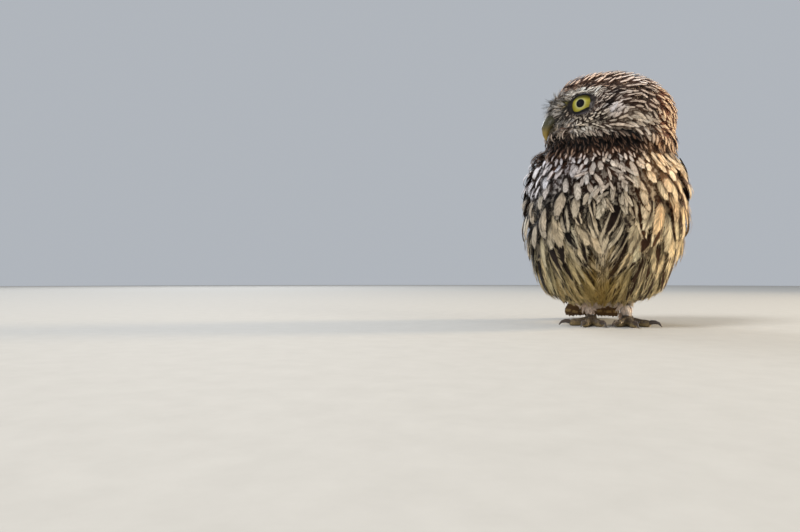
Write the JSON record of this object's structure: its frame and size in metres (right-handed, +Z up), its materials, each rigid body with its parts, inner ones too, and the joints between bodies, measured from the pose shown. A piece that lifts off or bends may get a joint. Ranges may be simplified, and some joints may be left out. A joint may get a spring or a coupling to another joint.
{
  "type": "little owl",
  "caption": "Life-size little owl standing upright on both feet, head turned aside, wings folded and tail tip on the floor.",
  "frame": {"origin": "on the floor, under the middle of the bounding box", "axes": "+Z up, -Y the way the body and feet face, +X the owl's left side; the head is turned about 62 degrees to its right"},
  "size_m": [0.1067, 0.1239, 0.1596],
  "materials": {
    "crown": "dark brown head feathers with fine pale streaks",
    "throat": "mottled brown and cream feathers",
    "breast": "cream feathers with brown streaks",
    "wing": "brown flight feathers with pale spots",
    "tail": "brown tail feathers with pale bars",
    "leg": "cream down",
    "foot": "scaly grey-brown skin",
    "claw": "dark horn",
    "bill": "yellow-green horn",
    "eye": "wet yellow iris with a black pupil"
  },
  "bodies": {
    "root": {"head": "crown", "neck": "throat", "torso": "breast", "wing_left": "wing", "wing_right": "wing", "tail": "tail", "leg_left": "leg", "leg_right": "leg", "foot_left": "foot", "foot_right": "foot", "claw_left_inner": "claw", "claw_left_middle": "claw", "claw_left_outer": "claw", "claw_left_hind": "claw", "claw_right_inner": "claw", "claw_right_middle": "claw", "claw_right_outer": "claw", "claw_right_hind": "claw", "bill_upper": "bill", "bill_lower": "bill", "eye_left": "eye", "eye_right": "eye"}
  },
  "joints": []
}
